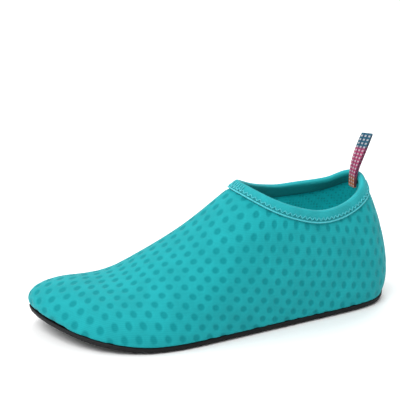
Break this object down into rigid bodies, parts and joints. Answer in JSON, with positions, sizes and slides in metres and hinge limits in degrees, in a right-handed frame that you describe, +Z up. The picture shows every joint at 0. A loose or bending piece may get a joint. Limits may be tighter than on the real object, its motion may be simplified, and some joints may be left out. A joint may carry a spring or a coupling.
{
  "type": "water shoe",
  "caption": "Child's left water shoe: hollow knit upper with a bound collar and heel pull loop on a thin lugged rubber sole.",
  "frame": {"origin": "middle of the bounding box in plan, on the floor", "axes": "+X to the toe, +Y to the outer side of the left foot, +Z up"},
  "size_m": [0.1828, 0.0744, 0.0834],
  "materials": {
    "sole_rubber": "matt black moulded rubber",
    "footbed_foam": "cloth-faced foam",
    "upper_knit": "teal stretch knit with rows of round darker dots",
    "collar_tape": "teal knit tape with zigzag stitching",
    "loop_ribbon": "woven ribbon with small checks"
  },
  "bodies": {
    "root": {"outsole": "sole_rubber", "insole": "footbed_foam", "upper": "upper_knit", "collar_binding": "collar_tape", "pull_loop": "loop_ribbon"}
  },
  "joints": []
}
